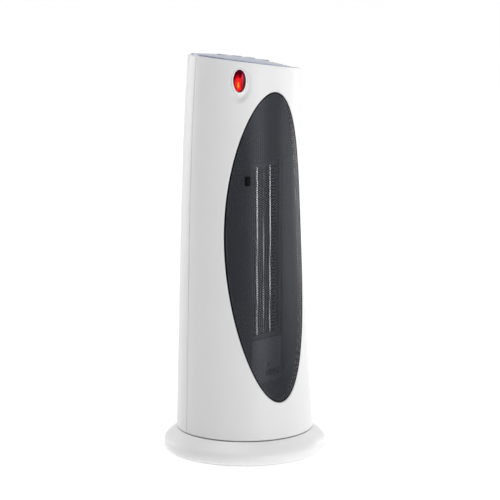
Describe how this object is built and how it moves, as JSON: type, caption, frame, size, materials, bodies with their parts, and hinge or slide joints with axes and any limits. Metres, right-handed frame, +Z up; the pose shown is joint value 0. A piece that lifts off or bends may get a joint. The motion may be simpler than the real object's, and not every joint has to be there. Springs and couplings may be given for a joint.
{
  "type": "oscillating ceramic tower heater",
  "caption": "White tower heater with an oval black mesh outlet, ceramic element and blower inside, that swings on a round flared base.",
  "frame": {"origin": "centre of the round base, on the surface that the feet stand on", "axes": "+Z up; the oval outlet faces -Y; +X is to the right of a person who faces the outlet"},
  "size_m": [0.18, 0.1799, 0.4385],
  "materials": {
    "white_plastic": "fine satin moulding",
    "panel_plastic": "satin blue-grey",
    "button_plastic": "satin",
    "dark_button": "satin",
    "black_plastic": "moulded, heat resistant",
    "mesh_paint": "black paint on perforated steel",
    "red_lens": "clear red moulding",
    "aluminium": "mill",
    "fin_aluminium": "dulled by heat",
    "steel": "zinc plated",
    "lamination": "stacked electrical steel",
    "coil_tape": "wrapped",
    "acetal": "natural",
    "rubber": "matte",
    "circuit_board": "solder mask",
    "cable_sleeve": "smooth"
  },
  "bodies": {
    "base": {"base_cover": "white_plastic", "base_plate": "black_plastic", "foot_1": "rubber", "foot_2": "rubber", "foot_3": "rubber", "foot_4": "rubber", "base_screw_1": "steel", "base_screw_2": "steel", "base_screw_3": "steel", "pivot_post": "acetal", "retaining_clip": "steel", "slide_ring": "acetal", "gear_sector": "acetal", "tip_switch": "black_plastic", "cord_inlet": "rubber"},
    "head": {"front_shell": "white_plastic", "rear_shell": "white_plastic", "shell_screw_1": "steel", "shell_screw_2": "steel", "shell_screw_3": "steel", "shell_screw_4": "steel", "grip_cup": "white_plastic", "intake_screen": "mesh_paint", "floor_plate": "black_plastic", "front_grille": "mesh_paint", "grille_frame": "black_plastic", "lens_bezel": "white_plastic", "indicator_lens": "red_lens", "indicator_lamp": "circuit_board", "control_panel": "panel_plastic", "control_board": "circuit_board", "element_holder_top": "black_plastic", "element_holder_bottom": "black_plastic", "ceramic_bar_1": "aluminium", "ceramic_bar_2": "aluminium", "centre_electrode": "aluminium", "fin_strip_1": "fin_aluminium", "fin_strip_2": "fin_aluminium", "fin_strip_3": "fin_aluminium", "fin_strip_4": "fin_aluminium", "thermal_cutout": "coil_tape", "outlet_funnel": "black_plastic", "blower_housing": "black_plastic", "blower_roof": "black_plastic", "top_bush": "rubber", "motor_core": "lamination", "motor_coil": "coil_tape", "motor_bridge_top": "steel", "motor_bridge_bottom": "steel", "swing_motor": "steel", "wire_loom": "cable_sleeve"},
    "blower_rotor": {"impeller": "black_plastic", "fan_shaft": "steel", "motor_rotor": "lamination"},
    "pinion": {"swing_pinion": "acetal"},
    "power_key": {"button_power": "dark_button"},
    "mode_key": {"button_mode": "button_plastic"},
    "swing_key": {"button_swing": "button_plastic"},
    "timer_key": {"button_timer": "button_plastic"},
    "plunger": {"tip_plunger": "black_plastic"}
  },
  "joints": [
    {"name": "oscillation", "type": "hinge", "parent": "base", "child": "head", "pos_m": [0, 0, 0.0265], "axis": [0, 0, 1], "range_deg": [-35, 35]},
    {"name": "pinion_spin", "type": "hinge", "parent": "head", "child": "pinion", "pos_m": [0, 0.045, 0.0175], "axis": [0, 0, 1], "range_deg": [-180, 180]},
    {"name": "blower_spin", "type": "hinge", "parent": "head", "child": "blower_rotor", "pos_m": [-0.01773, 0.00653, 0.2035], "axis": [0, 0, 1], "continuous": true},
    {"name": "power_press", "type": "slide", "parent": "head", "child": "power_key", "axis": [-0.1435, 0, -0.9897], "range_m": [0, 0.0012], "stiffness_N_per_m": 500},
    {"name": "mode_press", "type": "slide", "parent": "head", "child": "mode_key", "axis": [-0.1435, 0, -0.9897], "range_m": [0, 0.0012], "stiffness_N_per_m": 500},
    {"name": "swing_press", "type": "slide", "parent": "head", "child": "swing_key", "axis": [-0.1435, 0, -0.9897], "range_m": [0, 0.0012], "stiffness_N_per_m": 500},
    {"name": "timer_press", "type": "slide", "parent": "head", "child": "timer_key", "axis": [-0.1435, 0, -0.9897], "range_m": [0, 0.0012], "stiffness_N_per_m": 500},
    {"name": "plunger_travel", "type": "slide", "parent": "base", "child": "plunger", "axis": [0, 0, 1], "range_m": [-0.004, 0], "stiffness_N_per_m": 50, "springref_m": -0.006}
  ],
  "couplings": [
    {"joint": "pinion_spin", "follows": "oscillation", "ratio": 5}
  ]
}
